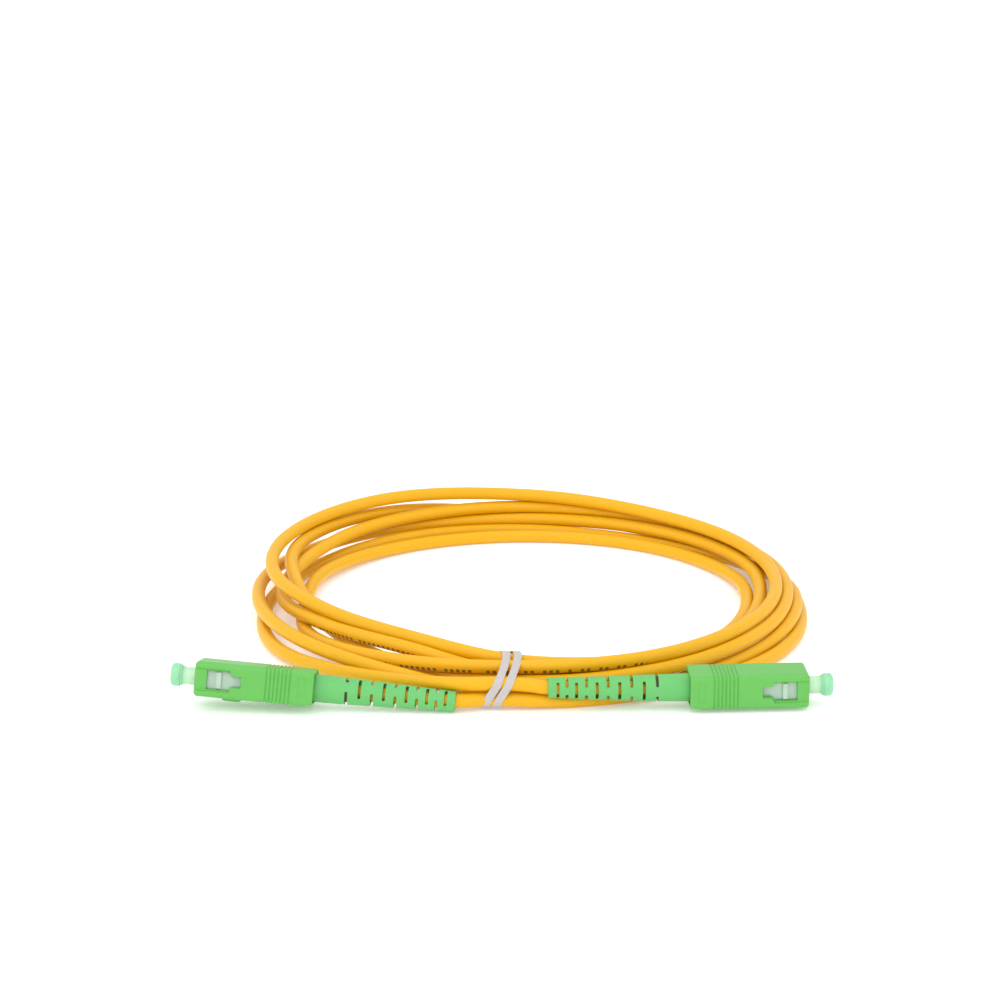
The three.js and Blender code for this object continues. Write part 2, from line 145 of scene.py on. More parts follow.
def cable_route():
    """Centreline of the whole cable in millimetres, settled so that the turns lie on each other.

    The lanes of TURNS are joined by a smooth curve of radius r and height z against the angle. Then,
    at each angle, turns nearer than one diameter are pushed apart and nothing goes under the table,
    while the shifts this makes are spread along the cable until both hold.
    """
    count = len(TURNS) * 12
    lane_angles = np.arange(count) * 30.0
    first = round_coil(LEADS["left"])
    last = round_coil(LEADS["right"])[::-1]
    last[:, 0] += 360.0 * len(TURNS)
    boot_left = round_coil(in_plug("left", [(-BOOT_LENGTH, 0, 0)]))
    boot_right = round_coil(in_plug("right", [(-BOOT_LENGTH, 0, 0)]))
    boot_right[:, 0] += 360.0 * len(TURNS)
    lanes = np.column_stack([lane_angles[1:], TURNS.reshape(-1, 2)[1:]])
    table = np.concatenate([boot_left, first, lanes, last, boot_right])
    held = np.concatenate([boot_left, first, last, boot_right])

    step = 360.0 / STATIONS_PER_TURN
    rows = len(TURNS) + 1
    angles = START_ANGLE + step * np.arange(rows * STATIONS_PER_TURN)
    inside = (angles >= table[0, 0]) & (angles <= table[-1, 0])
    wanted = smooth_between(table[:, 0], table[:, 1:], np.clip(angles, table[0, 0], table[-1, 0]))
    fixed = ~((angles > held[3, 0] + 4) & (angles < held[4, 0] - 4))

    around = np.radians(angles[:STATIONS_PER_TURN])
    tie_angle = math.radians(-5.6)
    floor = CABLE_RADIUS + 0.3 * np.exp(-((around - tie_angle) / 0.12) ** 2)
    boot_axis = np.linspace(-BOOT_LENGTH, -1, 40)
    boot_places = round_coil(in_plug("right", np.stack([boot_axis, 0 * boot_axis, 0 * boot_axis], -1)))
    boot_r = np.interp(np.degrees(around), boot_places[:, 0], boot_places[:, 1], left=1e3, right=1e3)
    boot_z = np.interp(np.degrees(around), boot_places[:, 0], boot_places[:, 2], left=1e3, right=1e3)
    boot_reach = np.interp(
        np.degrees(around), boot_places[:, 0],
        np.interp(boot_axis, [-BOOT_LENGTH, 0], [BOOT_END_RADIUS, BOOT_FRONT_RADIUS]) + CABLE_RADIUS)

    shape = (rows, STATIONS_PER_TURN)
    usable = inside.reshape(shape)
    movable = (inside & ~fixed).reshape(shape)
    shift = np.zeros_like(wanted)
    apart = 2 * CABLE_RADIUS + 0.03
    for _ in range(500):
        lane = (wanted + shift).reshape(*shape, 2)
        push = np.zeros_like(lane)
        for a in range(rows):
            for b in range(a + 1, rows):
                gap = lane[a] - lane[b]
                distance = np.maximum(np.hypot(gap[:, 0], gap[:, 1]), 1e-6)
                overlap = np.clip(apart - distance, 0, None) * (usable[a] & usable[b])
                share = np.where(movable[a] & movable[b], 0.5, 1.0)
                move = gap * (overlap * share / distance)[:, None]
                push[a] += move * movable[a][:, None]
                push[b] -= move * movable[b][:, None]
        gap = lane - np.stack([boot_r, boot_z], -1)
        distance = np.hypot(gap[..., 0], gap[..., 1])
        overlap = np.clip(boot_reach - distance, 0, None) * movable
        push += gap * (overlap / distance)[..., None]
        push[..., 1] += np.clip(floor - lane[..., 1] - push[..., 1], 0, None) * movable
        shift += 0.6 * push.reshape(-1, 2)
        spread = shift.copy()
        spread[1:-1] += 0.3 * (shift[2:] - 2 * shift[1:-1] + shift[:-2])
        shift = spread * movable.reshape(-1, 1)

    lane = (wanted + shift)[inside]
    turn = np.radians(angles[inside])
    ring = np.stack([
        COIL_CENTRE[0] + lane[:, 0] * np.sin(turn),
        COIL_CENTRE[1] - lane[:, 0] * np.cos(turn),
        lane[:, 1],
    ], -1)
    boot_inside = np.array([(x, 0, 0) for x in (CABLE_START, -15, -22, -28)])
    route = np.concatenate([in_plug("left", boot_inside), ring, in_plug("right", boot_inside)[::-1]])
    return route


def evenly(points, spacing):
    """The same smooth curve, through points, with new points about spacing apart along it."""
    along = np.concatenate([[0], np.cumsum(np.linalg.norm(np.diff(points, axis=0), axis=1))])
    places = np.linspace(0, along[-1], int(along[-1] / spacing) + 1)
    return smooth_between(along, points, places)


def new_piece(name, vertices, faces, material, slot, body, sharp=40.0, **values):
    """A mesh object from arrays of vertices, in millimetres, and faces as quads or longer rows.

    The faces are turned outwards where the volume they enclose, sum(a . (b x c)) / 6, is negative.
    Each of values is stored on the vertices as an attribute of that name.
    """
    vertices = np.asarray(vertices, float)
    fans = [(face[0], face[i], face[i + 1]) for face in faces for i in range(1, len(face) - 1)]
    a, b, c = vertices[np.array(fans).T]
    volume = np.einsum("ij,ij->", a, np.cross(b, c))
    faces = [list(face) for face in faces]
    if volume < 0:
        faces = [face[::-1] for face in faces]
    mesh = bpy.data.meshes.new(name)
    mesh.from_pydata((vertices * MM).tolist(), [], faces)
    mesh.update()
    mesh.shade_smooth()
    mesh.set_sharp_from_angle(angle=math.radians(sharp))
    for key, value in values.items():
        mesh.attributes.new(key, "FLOAT", "POINT").data.foreach_set("value", value.astype(np.float32))
    piece = bpy.data.objects.new(name, mesh)
    bpy.context.scene.collection.objects.link(piece)
    mesh.materials.append(material)
    if body:
        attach(piece, body)
    return piece


def grid_faces(rows, columns, closed_rows=False):
    """Quads of a grid whose columns close on themselves, and whose rows may too."""
    row = np.arange(rows if closed_rows else rows - 1)[:, None]
    column = np.arange(columns)[None, :]
    after, beside = (row + 1) % rows, (column + 1) % columns
    corners = [row * columns + column, row * columns + beside,
               after * columns + beside, after * columns + column]
    return np.stack(corners, -1).reshape(-1, 4)


def capped(rows, columns):
    """The quads of an open tube, with one flat polygon over each end."""
    first = list(range(columns))[::-1]
    last = list(range((rows - 1) * columns, rows * columns))
    return grid_faces(rows, columns).tolist() + [first, last]


def unit(vectors):
    return vectors / np.linalg.norm(vectors, axis=-1, keepdims=True)


def tube(path, radius, sides):
    """Circle carried along a path: c(s) + r (cos a . side(s) + sin a . up(s)).

    side is the path's direction crossed with +Z, and up is side crossed with the direction.
    """
    ahead = unit(np.gradient(path, axis=0))
    side = unit(np.cross(ahead, (0, 0, 1)))
    up = np.cross(side, ahead)
    angle = 2 * np.pi * np.arange(sides) / sides
    ring = np.cos(angle)[None, :, None] * side[:, None] + np.sin(angle)[None, :, None] * up[:, None]
    return (path[:, None] + radius * ring).reshape(-1, 3)


def nodes_of(tree, kind, **settings):
    """A new shader node. Settings name its own properties, or its inputs where they start with in_."""
    node = tree.nodes.new(kind)
    for key, value in settings.items():
        if key.startswith("in_"):
            node.inputs[key[3:].replace("_", " ")].default_value = value
        else:
            setattr(node, key, value)
    return node


def principled(name, colour, roughness, **inputs):
    """A material with the Principled shader: its tree and the shader are returned with it."""
    material = bpy.data.materials.new(name)
    material.use_nodes = True
    tree = material.node_tree
    shader = tree.nodes["Principled BSDF"]
    shader.inputs["Base Color"].default_value = (*colour, 1)
    shader.inputs["Roughness"].default_value = roughness
    for key, value in inputs.items():
        shader.inputs[key.replace("_", " ")].default_value = value
    return material, tree, shader


def grain_group():
    """Surface of moulded or extruded plastic: cloudy colour, uneven gloss and a fine pebbled height."""
    group = bpy.data.node_groups.new("plastic_grain", "ShaderNodeTree")
    for name, kind, value in (("Vector", "NodeSocketVector", None), ("Colour", "NodeSocketColor", None),
                              ("Cloud", "NodeSocketFloat", 0.06), ("Gloss", "NodeSocketFloat", 0.4),
                              ("Cloud Scale", "NodeSocketFloat", 300.0),
                              ("Grain Scale", "NodeSocketFloat", 4000.0)):
        socket = group.interface.new_socket(name, in_out="INPUT", socket_type=kind)
        if value is not None:
            socket.default_value = value
    for name, kind in (("Colour", "NodeSocketColor"), ("Roughness", "NodeSocketFloat"),
                       ("Height", "NodeSocketFloat")):
        group.interface.new_socket(name, in_out="OUTPUT", socket_type=kind)
    enter, leave = group.nodes.new("NodeGroupInput"), group.nodes.new("NodeGroupOutput")
    cloud = nodes_of(group, "ShaderNodeTexNoise", in_Detail=4.0)
    pebble = nodes_of(group, "ShaderNodeTexNoise", in_Detail=2.0)
    link = group.links.new
    link(enter.outputs["Vector"], cloud.inputs["Vector"])
    link(enter.outputs["Vector"], pebble.inputs["Vector"])
    link(enter.outputs["Cloud Scale"], cloud.inputs["Scale"])
    link(enter.outputs["Grain Scale"], pebble.inputs["Scale"])
    centred = nodes_of(group, "ShaderNodeMath", operation="SUBTRACT")
    centred.inputs[1].default_value = 0.5
    link(cloud.outputs["Fac"], centred.inputs[0])
    swing = nodes_of(group, "ShaderNodeMath", operation="MULTIPLY_ADD")
    swing.inputs[2].default_value = 1.0
    link(centred.outputs[0], swing.inputs[0])
    link(enter.outputs["Cloud"], swing.inputs[1])
    tint = nodes_of(group, "ShaderNodeVectorMath", operation="SCALE")
    link(enter.outputs["Colour"], tint.inputs[0])
    link(swing.outputs[0], tint.inputs["Scale"])
    link(tint.outputs[0], leave.inputs["Colour"])
    gloss = nodes_of(group, "ShaderNodeMath", operation="MULTIPLY_ADD")
    gloss.inputs[1].default_value = 0.25
    link(centred.outputs[0], gloss.inputs[0])
    link(enter.outputs["Gloss"], gloss.inputs[2])
    link(gloss.outputs[0], leave.inputs["Roughness"])
    link(pebble.outputs["Fac"], leave.inputs["Height"])
    return group


plastic_grain = grain_group()


def grained(tree, shader, vector, colour, gloss, cloud=0.1, grain=4000.0, clouds=300.0, depth=0.01):
    """Feeds a shader from the plastic grain. colour is a socket or a plain colour; depth is in mm."""
    node = nodes_of(tree, "ShaderNodeGroup", node_tree=plastic_grain, in_Cloud=cloud, in_Gloss=gloss,
                    in_Grain_Scale=grain, in_Cloud_Scale=clouds)
    tree.links.new(vector, node.inputs["Vector"])
    if isinstance(colour, tuple):
        node.inputs["Colour"].default_value = (*colour, 1)
    else:
        tree.links.new(colour, node.inputs["Colour"])
    bump = nodes_of(tree, "ShaderNodeBump", in_Strength=1.0, in_Distance=depth * MM)
    tree.links.new(node.outputs["Height"], bump.inputs["Height"])
    tree.links.new(bump.outputs["Normal"], shader.inputs["Normal"])
    tree.links.new(node.outputs["Colour"], shader.inputs["Base Color"])
    tree.links.new(node.outputs["Roughness"], shader.inputs["Roughness"])


def calculate(tree, operation, first, second=None, third=None):
    """A Math node. Its inputs are sockets or plain numbers, and its output socket is returned."""
    node = tree.nodes.new("ShaderNodeMath")
    node.operation = operation
    for place, value in enumerate((first, second, third)):
        if value is None:
            continue
        if isinstance(value, (int, float)):
            node.inputs[place].default_value = value
        else:
            tree.links.new(value, node.inputs[place])
    return node.outputs[0]


def mixed(tree, factor, first, second):
    """Colour mix from first to second by factor. Each is a socket or a plain colour."""
    node = nodes_of(tree, "ShaderNodeMix", data_type="RGBA")
    tree.links.new(factor, node.inputs[0])
    for socket, value in ((node.inputs[6], first), (node.inputs[7], second)):
        if isinstance(value, tuple):
            socket.default_value = (*value, 1)
        else:
            tree.links.new(value, socket)
    return node.outputs[2]


# The jacket's colours, and its print: millimetres along the cable from bar to bar, the part of the
# girth they take in radians, and the stretches of coil that show them, in degrees from the front.
JACKET_COLOUR = (0.74, 0.39, 0.002)
INK_COLOUR = (0.05, 0.03, 0.01)
PRINT_PITCH = 1.3
PRINT_FROM = 5.45
PRINT_TO = 6.1
PRINTED_ANGLES = ((1 * 360 + 296, 1 * 360 + 345), (2 * 360 + 308, 2 * 360 + 385))


def cable_jacket():
    """Extruded PVC: faint lengthwise die lines, and rows of small plain bars printed in black."""
    material, tree, shader = principled(
        "cable_jacket", JACKET_COLOUR, 0.42, Subsurface_Weight=0.12, Subsurface_Scale=0.0012,
        Specular_IOR_Level=0.3)
    along = nodes_of(tree, "ShaderNodeAttribute", attribute_name="along").outputs["Fac"]
    around = nodes_of(tree, "ShaderNodeAttribute", attribute_name="around").outputs["Fac"]
    place = tree.nodes.new("ShaderNodeCombineXYZ")
    tree.links.new(calculate(tree, "COSINE", around), place.inputs[0])
    tree.links.new(calculate(tree, "SINE", around), place.inputs[1])
    tree.links.new(calculate(tree, "MULTIPLY", along, 0.02), place.inputs[2])

    cell = calculate(tree, "MULTIPLY", along, 1 / PRINT_PITCH)
    noise = nodes_of(tree, "ShaderNodeTexWhiteNoise", noise_dimensions="1D")
    tree.links.new(calculate(tree, "FLOOR", cell), noise.inputs["W"])
    bar = calculate(tree, "LESS_THAN", calculate(tree, "FRACT", cell), 0.55)
    chosen = calculate(tree, "GREATER_THAN", noise.outputs["Value"], 0.25)
    low = calculate(tree, "GREATER_THAN", around, PRINT_FROM)
    high = calculate(tree, "LESS_THAN", around, PRINT_TO)
    row = nodes_of(tree, "ShaderNodeAttribute", attribute_name="printed").outputs["Fac"]
    ink = calculate(tree, "MULTIPLY", calculate(tree, "MULTIPLY", bar, chosen),
                    calculate(tree, "MULTIPLY", calculate(tree, "MULTIPLY", low, high), row))
    colour = mixed(tree, calculate(tree, "MULTIPLY", ink, 0.8), JACKET_COLOUR, INK_COLOUR)
    grained(tree, shader, place.outputs[0], colour, 0.4, cloud=0.08, clouds=2.2, grain=26.0, depth=0.012)
    return material


route = evenly(cable_route(), 1.6)
SIDES = 24
travelled = np.concatenate([[0], np.cumsum(np.linalg.norm(np.diff(route, axis=0), axis=1))])
swept = np.unwrap(np.arctan2(route[:, 0] - COIL_CENTRE[0], COIL_CENTRE[1] - route[:, 1]))
swept = np.degrees(swept)
printed = sum(((swept > low) & (swept < high)).astype(float) for low, high in PRINTED_ANGLES)
cable = new_piece(
    "cable", tube(route, CABLE_RADIUS, SIDES), capped(len(route), SIDES), cable_jacket(),
    "cable_yellow", "cable_and_frames", along=np.repeat(travelled, SIDES),
    around=np.tile(2 * np.pi * np.arange(SIDES) / SIDES, len(route)),
    printed=np.repeat(printed, SIDES))
exit_place = in_plug("left", [(-BOOT_LENGTH, 0, 0)])[0] * MM
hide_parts("cable_coil", "cable_lead_left", "cable_lead_right")


# ---------------------------------------------------------------- twist tie
# A strip of milky plastic moulded over a thin iron wire. It goes twice round the whole bundle beside
# the boots, and its two ends are twisted together behind it.

TIE_X = -0.4
TIE_WIDTH = 1.7
TIE_PITCH = 2.4
TIE_LEAN = 0.72
TIE_CORE = 0.14
TIE_EDGE = 0.09
TIE_BRIDGE_TURN = math.radians(-12)
TAIL_LENGTH = 6.6


def bundle_outline(x, clearance):
    """The taut loop round the cable's strands where they cross the plane at x: (y, z) places.

    For each direction n it is the strand centre that reaches furthest that way, plus clearance . n.
    """
    ahead = route[1:] - route[:-1]
    crossing = (route[:-1, 0] - x) * (route[1:, 0] - x) < 0
    near = crossing & (route[:-1, 1] < 20)
    share = ((x - route[:-1, 0]) / np.where(crossing, ahead[:, 0], 1))[:, None]
    centres = (route[:-1] + ahead * share)[near][:, 1:]
    turn = TIE_BRIDGE_TURN + 2 * np.pi * np.arange(240) / 240
    direction = np.stack([np.cos(turn), np.sin(turn)], -1)
    furthest = centres[np.argmax(direction @ centres.T, axis=1)]
    return furthest + clearance * direction


def strip(path, across, width, core, edge):
    """Flat strip with a round wire along its middle, carried along a path.

    Across the strip v runs from -1 to 1, and half its thickness there is
    edge (1 - v^8)^(1/2) + (core - edge) exp(-(v / 0.3)^2); the normal is across x direction.
    """
    ahead = unit(np.gradient(path, axis=0))
    across = unit(across - ahead * np.sum(ahead * across, axis=1, keepdims=True))
    normal = np.cross(across, ahead)
    v = np.cos(np.linspace(0, np.pi, 15))
    half = edge * np.sqrt(1 - v ** 8) + (core - edge) * np.exp(-(v / 0.3) ** 2)
    v = np.concatenate([v, v[-2:0:-1]])
    half = np.concatenate([half, -half[-2:0:-1]])
    section = (v[None, :, None] * width / 2 * across[:, None] + half[None, :, None] * normal[:, None])
    return (path[:, None] + section).reshape(-1, 3), capped(len(path), len(v))


def tie_loops():
    """Two turns of the taut loop: x = x0 + lean (z - middle) + pitch (turns - 1)."""
    outline = bundle_outline(TIE_X, CABLE_RADIUS + TIE_CORE)
    loop = np.concatenate([outline, outline, outline[:1]])
    turns = np.linspace(-1, 1, len(loop))
    middle = (loop[:, 1].min() + loop[:, 1].max()) / 2
    x = TIE_X + TIE_LEAN * (loop[:, 1] - middle) + TIE_PITCH * turns
    path = evenly(np.column_stack([x, loop]), 0.35)
    for _ in range(60):
        path[1:-1, 0] = (path[:-2, 0] + 2 * path[1:-1, 0] + path[2:, 0]) / 4
    for _ in range(4):
        path[1:-1] = (path[:-2] + 2 * path[1:-1] + path[2:]) / 4
    lean = np.array([1.0, 0, 0])
    return strip(path, np.repeat(lean[None], len(path), 0), TIE_WIDTH, TIE_CORE, TIE_EDGE), path


def tie_tail(start, phase):
    """One of the two ends: p = start + s y + r(s) (cos(k s + phase) x + sin(k s + phase) z)."""
    s = np.linspace(0, TAIL_LENGTH, 70)
    spread = 0.42 + 0.7 * np.clip(s / TAIL_LENGTH - 0.75, 0, 1) * 4
    turn = 2.3 * s + phase
    wide = np.stack([np.cos(turn), 0 * s, np.sin(turn)], -1)
    path = start + np.stack([0 * s, s, 0 * s], -1) + spread[:, None] * wide
    across = np.stack([-np.sin(turn), 0 * s, np.cos(turn)], -1)
    return strip(path, across, TIE_WIDTH * 0.8, TIE_CORE, TIE_EDGE)


def joined(parts):
    """Several (vertices, faces) as one."""
    faces = []
    offset = 0
    for part_vertices, part_faces in parts:
        faces += [[index + offset for index in face] for face in part_faces]
        offset += len(part_vertices)
    return np.concatenate([v for v, _ in parts]), faces


def tie_plastic():
    """Milky film over the wire: pale grey, a little see-through, with fine wrinkles."""
    grey = (0.55, 0.51, 0.5)
    material, tree, shader = principled(
        "tie_plastic", grey, 0.38, Subsurface_Weight=0.35, Subsurface_Scale=0.001,
        Transmission_Weight=0.12)
    place = tree.nodes.new("ShaderNodeTexCoord").outputs["Object"]
    grained(tree, shader, place, grey, 0.36, cloud=0.16, clouds=900.0, grain=2600.0, depth=0.03)
    return material


loops, loop_path = tie_loops()
tail_start = np.array([TIE_X, loop_path[:, 1].max() + 0.35, 4.6])
tie_vertices, tie_faces = joined([loops, tie_tail(tail_start, 0.0), tie_tail(tail_start, np.pi)])
tie = new_piece("cable_tie_strip", tie_vertices, tie_faces, tie_plastic(), "tie_white", "cable_and_frames")
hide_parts("cable_tie")


# ---------------------------------------------------------------- strain relief boots
# Soft green rubber sleeves over the crimp and the cable. Crosswise slots, a quarter turn apart from
# one to the next, let them bend. Each is moulded in one piece and pushed onto the plug.

STRAIN_SLOTS = 10
SLOT_HALF = 0.32
SLOT_FIRST = 6.75
SLOT_STEP = 2.78
SLOT_CLOSING = 0.053
UPRIGHT_OPEN = 0.93
SIDEWAYS_OPEN = 0.74
BOOT_ROLL = {"left": 24.0, "right": 0.0}


def turned(profile, sides):
    """Surface of revolution about the plug's axis: (x, r cos a, r sin a), for a closed profile (x, r)."""
    profile = np.asarray(profile, float)
    angle = 2 * np.pi * np.arange(sides) / sides
    x = np.repeat(profile[:, :1], sides, 1)
    vertices = np.stack([x, profile[:, 1:] * np.cos(angle), profile[:, 1:] * np.sin(angle)], -1)
    return vertices.reshape(-1, 3)


def rounded_corner(x, r, radius, start, turn=90.0, points=5):
    """Arc of a profile about (x, r), from start degrees through turn degrees."""
    angle = np.radians(np.linspace(start, start + turn, points))
    return np.column_stack([x + radius * np.cos(angle), r + radius * np.sin(angle)])


def rounded_section(width, height, corner, sides=None):
    """Rounded rectangle across the plug as (y, z) places and their outward normals.

    A quarter has the side's places, the corner's arc and the top's places; the rest is mirrored.
    """
    side = np.array([0, 0.2, 0.4, 0.6, 0.74, 0.79, 0.84, 0.87, 0.90, 0.95]) if sides is None else sides
    arc = np.radians(np.linspace(0, 90, 8))
    top = np.array([0.85, 0.6, 0.4, 0.2, 0])
    y0, z0 = width / 2 - corner, height / 2 - corner
    quarter = np.concatenate([
        np.column_stack([np.full(len(side), width / 2), side * z0]),
        np.column_stack([y0 + corner * np.cos(arc), z0 + corner * np.sin(arc)]),
        np.column_stack([top * y0, np.full(len(top), height / 2)]),
    ])
    normal = np.concatenate([
        np.tile([1.0, 0.0], (len(side), 1)),
        np.column_stack([np.cos(arc), np.sin(arc)]),
        np.tile([0.0, 1.0], (len(top), 1)),
    ])

    def mirrored(values):
        left = values[-2::-1] * (-1, 1)
        half = np.concatenate([values, left])
        return np.concatenate([half, half[-2:0:-1] * (1, -1)])

    return mirrored(quarter), mirrored(normal)


def prism(outline, low, high):
    """Outline of (a, b) places carried straight from low to high: (a, b, c)."""
    ends = [np.column_stack([outline, np.full(len(outline), level)]) for level in (low, high)]
    return np.concatenate(ends), capped(2, len(outline))


def cut(piece, cutter):
    """Takes one closed mesh away from another, for good."""
    modifier = piece.modifiers.new("cut", "BOOLEAN")
    modifier.operation = "DIFFERENCE"
    modifier.solver = "EXACT"
    modifier.object = cutter
    seen = piece.evaluated_get(bpy.context.evaluated_depsgraph_get())
    mesh = bpy.data.meshes.new_from_object(seen)
    piece.modifiers.clear()
    piece.data = mesh
    bpy.data.objects.remove(cutter)
    mesh.shade_smooth()
    mesh.set_sharp_from_angle(angle=math.radians(35))


def place_in_plug(side, piece, body):
    """Puts a mesh made in the plug's frame where the plug lies, and keeps its axis place as along."""
    mesh = piece.data
    points = np.empty(len(mesh.vertices) * 3)
    mesh.vertices.foreach_get("co", points)
    points = points.reshape(-1, 3) / MM
    along = mesh.attributes.new("along", "FLOAT", "POINT")
    along.data.foreach_set("value", points[:, 0].astype(np.float32))
    placed = in_plug(side, points) * MM
    mesh.vertices.foreach_set("co", placed.ravel())
    mesh.update()
    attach(piece, body)


def boot_rubber():
    """Soft matt elastomer, slightly cloudy and moulded a little uneven."""
    green_rubber = (0.118, 0.463, 0.124)
    material, tree, shader = principled(
        "boot_rubber", green_rubber, 0.5, Subsurface_Weight=0.15, Subsurface_Scale=0.0015)
    place = tree.nodes.new("ShaderNodeTexCoord").outputs["Object"]
    grained(tree, shader, place, green_rubber, 0.48, cloud=0.12, clouds=260.0, grain=5200.0, depth=0.012)
    return material


def boot_shell(side, material):
    """Tapered sleeve of revolution with crosswise slots, turned on the cable by BOOT_ROLL degrees.

    Slot i is centred first + step i - closing i^2 behind the housing, so they lie closer to the end.
    """
    rim = 0.16
    profile = np.concatenate([
        rounded_corner(-BOOT_LENGTH + rim, BOOT_END_RADIUS - rim, rim, 180, -90),
        [(-24, 2.31), (-18, 2.49), (-12, 2.67), (-8, 2.79), (-6, 2.85), (-3, 2.9)],
        rounded_corner(0.8 - rim, BOOT_FRONT_RADIUS - rim, rim, 90, -90),
        [(0.8, 2.45), (-8, 2.45), (-9.5, 1.72), (-20, 1.72), (-BOOT_LENGTH, 1.72)],
    ])
    sides = 64
    faces = grid_faces(len(profile), sides, closed_rows=True).tolist()
    boot = new_piece(f"strain_relief_sleeve_{side}", turned(profile, sides), faces, material,
                     "boot_green", None)
    slots = []
    roll = np.array(Matrix.Rotation(math.radians(BOOT_ROLL[side]), 3, "X"))
    for index in range(STRAIN_SLOTS):
        place = -(SLOT_FIRST + SLOT_STEP * index - SLOT_CLOSING * index * index)
        radius = np.interp(place, [-BOOT_LENGTH, -6], [BOOT_END_RADIUS, 2.85])
        upright = index % 2 == 0
        half = radius * (UPRIGHT_OPEN if upright else SIDEWAYS_OPEN)
        outline, _ = rounded_section(2 * SLOT_HALF, 2 * half, 0.2, np.array([0, 0.5, 0.9]))
        vertices, faces = prism(outline + (place, 0), -5, 5)
        vertices = vertices if upright else vertices[:, [0, 2, 1]] * (1, -1, 1)
        slots.append((vertices @ roll.T, faces))
    cutter = new_piece("slots", *joined(slots), material, "boot_green", None)
    cut(boot, cutter)
    place_in_plug(side, boot, "cable_and_frames")
    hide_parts(f"strain_relief_boot_{side}")


rubber = boot_rubber()
for side in PLUGS:
    boot_shell(side, rubber)


# ---------------------------------------------------------------- outer housings
# Glass-filled green PBT sleeves that slide on the plug frames to unlatch them. Each is one moulding
# with a latch window in both sides, latch channels to the nose, grip grooves and a keying rib below.

HOUSING_LENGTH = 25.0
HOUSING_WIDTH = 9.0
HOUSING_HEIGHT = 7.4
HOUSING_CORNER = 0.95
NOSE_ROUND = 0.85
CHANNEL_REAR = 17.5
CHANNEL_HALF = 2.32
CHANNEL_DEPTH = 0.42
GROOVE_FIRST = 4.75
GROOVE_PITCH = 0.82
GROOVES = 7
GROOVE_DEPTH = 0.17


def ramp(value, start, end):
    """Smooth step: 3 t^2 - 2 t^3 with t from 0 at start to 1 at end."""
    t = np.clip((value - start) / (end - start), 0, 1)
    return t * t * (3 - 2 * t)


def housing_green():
    """Satin green moulding: cloudy tint, fine spark-eroded texture."""
    leaf_green = (0.11, 0.435, 0.072)
    material, tree, shader = principled(
        "housing_plastic", leaf_green, 0.4, Subsurface_Weight=0.12, Subsurface_Scale=0.001)
    place = tree.nodes.new("ShaderNodeTexCoord").outputs["Object"]
    grained(tree, shader, place, leaf_green, 0.4, cloud=0.1, clouds=220.0, grain=6000.0, depth=0.01)
    return material


def housing_outer_rows():
    """Stations along the outside, dense at each groove's two edges and at both ends."""
    grooves = GROOVE_FIRST + GROOVE_PITCH * np.arange(GROOVES)[:, None]
    grooves = (grooves + np.array([0, 0.06, 0.12, 0.3, 0.36, 0.42])).ravel()
    steps = [0.55, 1.0, 1.55, 1.62, 1.69, 2.2, 2.8, 3.12, 3.19, 3.26, 3.8, 4.4, 11, 13, 15, 16.5, 17.3,
             CHANNEL_REAR - 0.08, CHANNEL_REAR, CHANNEL_REAR + 0.08, 18.6, 20, 21.5, 22.8, 23.4]
    return np.sort(np.concatenate([grooves, steps]))


def housing_shell(side, material):
    """Sleeve: a rounded rectangle carried out along the outside and back along the bore.

    On the outside each place is moved in along the section's normal by the grooves, the side
    channels and panels, and the rounding of the two ends.
    """
    rows = housing_outer_rows()
    rear_round = 0.3
    rear = np.radians(np.linspace(90, 0, 6))[:-1]
    nose = np.radians(np.linspace(0, 90, 9))
    x = np.concatenate([rear_round * (1 - np.sin(rear)), rows,
                        HOUSING_LENGTH - NOSE_ROUND * (1 - np.sin(nose))])
    inset = np.concatenate([rear_round * (1 - np.cos(rear)), 0 * rows, NOSE_ROUND * (1 - np.cos(nose))])
    points, normals = rounded_section(HOUSING_WIDTH, HOUSING_HEIGHT, HOUSING_CORNER)
    shells = []
    for place, pulled in zip(x, inset):
        section = points.copy()
        drawn_in = ramp(place, 3.2, 0)
        section[:, 1] *= 1 - 0.07 * drawn_in * (section[:, 1] < 0) - 0.02 * drawn_in
        flank = np.abs(normals[:, 0]) > 0.999
        z = np.abs(section[:, 1])
        depth = pulled
        for index in range(GROOVES):
            start = GROOVE_FIRST + GROOVE_PITCH * index
            groove = ramp(place, start, start + 0.12) - ramp(place, start + 0.3, start + 0.42)
            depth = depth + GROOVE_DEPTH * groove
        channel = CHANNEL_DEPTH * ramp(place, CHANNEL_REAR - 0.08, CHANNEL_REAR + 0.08)
        channel = channel * ramp(z, CHANNEL_HALF + 0.06, CHANNEL_HALF - 0.06) * flank
        panel = ramp(place, 1.55, 1.69) - ramp(place, 3.12, 3.26)
        panel = 0.12 * panel * ramp(z, 2.15, 2.02) * flank
        depth = depth + np.clip(channel - pulled * flank, 0, None) + panel
        moved = section - normals * depth[:, None]
        shells.append(np.column_stack([np.full(len(moved), place), moved]))
    bore = [(HOUSING_LENGTH, 6.9, 5.5, 0.5), (14, 6.9, 5.5, 0.5), (3.3, 6.9, 5.5, 0.5),
            (2.9, 7.3, 6.0, 0.9), (0.4, 7.3, 6.0, 0.9), (0, 7.4, 6.06, 0.95)]
    for place, width, height, corner in bore:
        section, _ = rounded_section(width, height, corner)
        shells.append(np.column_stack([np.full(len(section), place), section]))
    shell = new_piece(f"housing_sleeve_{side}", np.concatenate(shells),
                      grid_faces(len(shells), len(points), closed_rows=True).tolist(), material,
                      "housing_green", None, sharp=50)
    cut(shell, window_cutter(material))
    key = keying_rib()
    place_in_plug(side, shell, f"housing_{side}")
    rib = new_piece(f"keying_rib_{side}", *key, material, "housing_green", None)
    place_in_plug(side, rib, f"housing_{side}")
    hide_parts(f"outer_housing_{side}")


